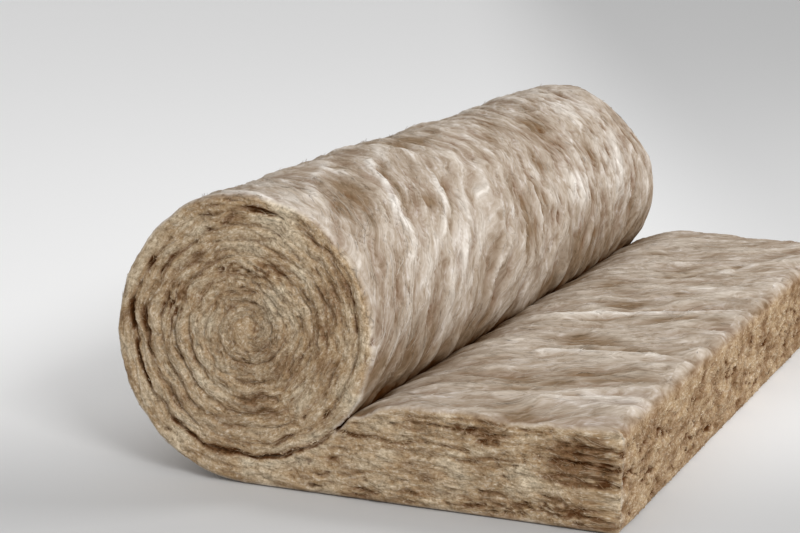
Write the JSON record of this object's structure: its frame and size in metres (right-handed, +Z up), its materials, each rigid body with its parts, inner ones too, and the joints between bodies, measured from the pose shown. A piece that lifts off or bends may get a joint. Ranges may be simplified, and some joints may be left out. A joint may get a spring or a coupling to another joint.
{
  "type": "insulation roll",
  "caption": "Wide glass wool insulation mat, wound into a roll, with its free end unrolled flat on the floor and swollen to full thickness.",
  "frame": {"origin": "on the floor, at mid width, straight below the roll's axis, where the flat underside begins", "axes": "+X runs along the unrolled mat towards its cut end, +Y runs across the mat along the roll's axis, +Z is up"},
  "size_m": [0.629, 1.2, 0.351],
  "materials": {
    "glass_wool": "matt, fibrous glass wool, pale grey-beige on its faces and browner on its cut sides"
  },
  "bodies": {
    "root": {"glass_wool_mat": "glass_wool"}
  },
  "joints": []
}
